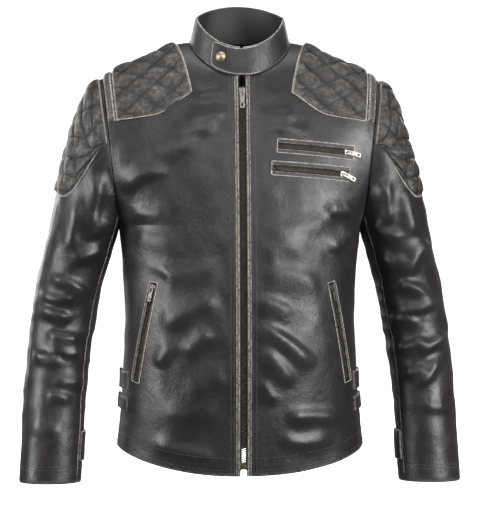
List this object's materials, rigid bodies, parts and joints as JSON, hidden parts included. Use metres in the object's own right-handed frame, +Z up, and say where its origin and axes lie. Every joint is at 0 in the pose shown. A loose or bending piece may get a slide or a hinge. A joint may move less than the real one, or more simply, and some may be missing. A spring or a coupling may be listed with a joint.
{
  "type": "leather riding jacket",
  "caption": "Waist-length leather riding jacket with a short stand collar and tab, centre zip, quilted shoulders, chest zips and slanted hand pockets",
  "frame": {"origin": "the middle of the hanger loop inside the back of the collar", "axes": "+Z up, -Y the jacket's front, +X the wearer's left"},
  "size_m": [0.6788, 0.2508, 0.738],
  "materials": {
    "leather": "waxed, dark brown-black, worn at the folds",
    "quilted_leather": "quilted in diamonds, distressed grey-brown",
    "worn_leather": "rolled edges rubbed pale",
    "lining": "near-black satin lining",
    "zip_tape": "black woven zip tape",
    "antique_brass": "antique brass teeth",
    "antique_nickel": "antique nickel",
    "snap_brass": "antique brass cap"
  },
  "bodies": {
    "jacket": {"front_panel_left": "leather", "front_panel_right": "leather", "back_panel": "leather", "front_linings": "lining", "back_lining": "lining", "front_facings": "leather", "upper_sleeve_left": "leather", "upper_sleeve_right": "leather", "under_sleeve_left": "leather", "under_sleeve_right": "leather", "sleeve_linings": "lining", "shoulder_yoke_left": "quilted_leather", "shoulder_yoke_right": "quilted_leather", "shoulder_strip_left": "leather", "shoulder_strip_right": "leather", "sleeve_cap_left": "quilted_leather", "sleeve_cap_right": "quilted_leather", "main_tape": "zip_tape", "main_teeth_left": "antique_brass", "main_teeth_right": "antique_brass", "retainer_box": "antique_brass", "front_bindings": "worn_leather", "chest_upper_teeth": "antique_brass", "chest_upper_tape": "zip_tape", "chest_upper_lips": "worn_leather", "chest_lower_teeth": "antique_brass", "chest_lower_tape": "zip_tape", "chest_lower_lips": "worn_leather", "hand_left_teeth": "antique_brass", "hand_left_tape": "zip_tape", "hand_left_lips": "worn_leather", "hand_right_teeth": "antique_brass", "hand_right_tape": "zip_tape", "hand_right_lips": "worn_leather", "pocket_bags": "lining", "collar_shell": "leather", "collar_lining": "lining", "cuff_facings": "leather", "waist_straps": "leather", "waist_keepers": "leather", "hem_facing": "leather", "hanger_loop": "lining"},
    "main_slider": {"main_slider": "antique_nickel"},
    "main_pull": {"main_pull": "antique_nickel"},
    "collar_tab": {"collar_tab": "leather", "collar_snap": "snap_brass"},
    "cuff_tab_left": {"cuff_tab_left": "leather", "cuff_snap_left": "snap_brass"},
    "cuff_tab_right": {"cuff_tab_right": "leather", "cuff_snap_right": "snap_brass"},
    "chest_upper_slider": {"chest_upper_slider": "antique_nickel"},
    "chest_upper_pull": {"chest_upper_pull": "antique_nickel"},
    "chest_lower_slider": {"chest_lower_slider": "antique_nickel"},
    "chest_lower_pull": {"chest_lower_pull": "antique_nickel"},
    "hand_left_slider": {"hand_left_slider": "antique_nickel"},
    "hand_left_pull": {"hand_left_pull": "antique_nickel"},
    "hand_right_slider": {"hand_right_slider": "antique_nickel"},
    "hand_right_pull": {"hand_right_pull": "antique_nickel"}
  },
  "joints": [
    {"name": "main_slider_travel", "type": "hinge", "parent": "jacket", "child": "main_slider", "pos_m": [0, 1.43133, -0.49637], "axis": [1, 0, 0], "range_deg": [0, 19.53]},
    {"name": "main_pull_swing", "type": "hinge", "parent": "main_slider", "child": "main_pull", "pos_m": [0, -0.12527, -0.06858], "axis": [-1, 0, 0], "range_deg": [0, 165]},
    {"name": "chest_upper_slider_travel", "type": "hinge", "parent": "jacket", "child": "chest_upper_slider", "pos_m": [0.04312, 0.39193, -0.24767], "axis": [0.0675, 0.1781, 0.9817], "range_deg": [-10.26, 0]},
    {"name": "chest_upper_pull_swing", "type": "hinge", "parent": "chest_upper_slider", "child": "chest_upper_pull", "pos_m": [0.16057, -0.13411, -0.16032], "axis": [-0.2357, -0.2102, -0.9488], "range_deg": [0, 150]},
    {"name": "chest_lower_slider_travel", "type": "hinge", "parent": "jacket", "child": "chest_lower_slider", "pos_m": [0.03811, 0.26273, -0.24133], "axis": [0.0578, 0.135, 0.9892], "range_deg": [-13.67, 0]},
    {"name": "chest_lower_pull_swing", "type": "hinge", "parent": "chest_lower_slider", "child": "chest_lower_pull", "pos_m": [0.15379, -0.13724, -0.19348], "axis": [-0.413, -0.225, -0.8825], "range_deg": [0, 150]},
    {"name": "hand_left_slider_travel", "type": "hinge", "parent": "jacket", "child": "hand_left_slider", "pos_m": [-1.17622, 1.19733, -0.47558], "axis": [0.6856, 0.6902, 0.2314], "range_deg": [0, 4.13]},
    {"name": "hand_left_pull_swing", "type": "hinge", "parent": "hand_left_slider", "child": "hand_left_pull", "pos_m": [0.13678, -0.14381, -0.36605], "axis": [-0.6856, -0.6902, -0.2314], "range_deg": [0, 150]},
    {"name": "hand_right_slider_travel", "type": "hinge", "parent": "jacket", "child": "hand_right_slider", "pos_m": [1.17622, 1.19733, -0.47558], "axis": [0.6856, -0.6902, -0.2314], "range_deg": [0, 4.13]},
    {"name": "hand_right_pull_swing", "type": "hinge", "parent": "hand_right_slider", "child": "hand_right_pull", "pos_m": [-0.13678, -0.14381, -0.36605], "axis": [-0.6856, 0.6902, 0.2314], "range_deg": [0, 150]},
    {"name": "collar_tab_swing", "type": "hinge", "parent": "jacket", "child": "collar_tab", "pos_m": [0.02713, -0.10978, -0.01629], "axis": [-0.074, 0.136, 0.9879], "range_deg": [0, 80]},
    {"name": "cuff_tab_left_swing", "type": "hinge", "parent": "jacket", "child": "cuff_tab_left", "pos_m": [0.24623, -0.09557, -0.60686], "axis": [-0.0537, 0.1113, 0.9923], "range_deg": [0, 30]},
    {"name": "cuff_tab_right_swing", "type": "hinge", "parent": "jacket", "child": "cuff_tab_right", "pos_m": [-0.24623, -0.09557, -0.60686], "axis": [-0.0537, -0.1113, -0.9923], "range_deg": [0, 30]}
  ]
}
